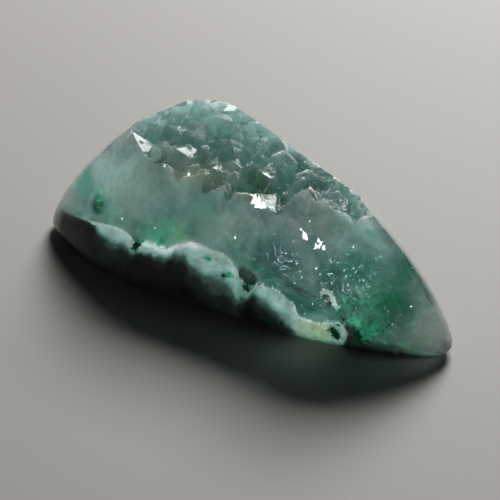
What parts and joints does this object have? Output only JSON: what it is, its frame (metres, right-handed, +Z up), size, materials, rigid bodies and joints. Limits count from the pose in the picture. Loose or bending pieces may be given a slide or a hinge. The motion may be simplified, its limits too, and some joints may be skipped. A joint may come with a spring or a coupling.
{
  "type": "druzy cabochon",
  "caption": "Half-moon gem silica cabochon with polished walls, a natural druzy top of small quartz points and a flat base to rest or glue on.",
  "frame": {"origin": "centre of the bounding box's footprint, on the flat base", "axes": "+Z up from the base to the druzy top, +X along the stone to its narrow rounded point, +Y towards the long bowed side"},
  "size_m": [0.0258, 0.014, 0.008],
  "materials": {
    "gem_silica": "polished walls with a natural crystalline top, translucent milky green"
  },
  "bodies": {
    "root": {"druzy_stone": "gem_silica"}
  },
  "joints": []
}
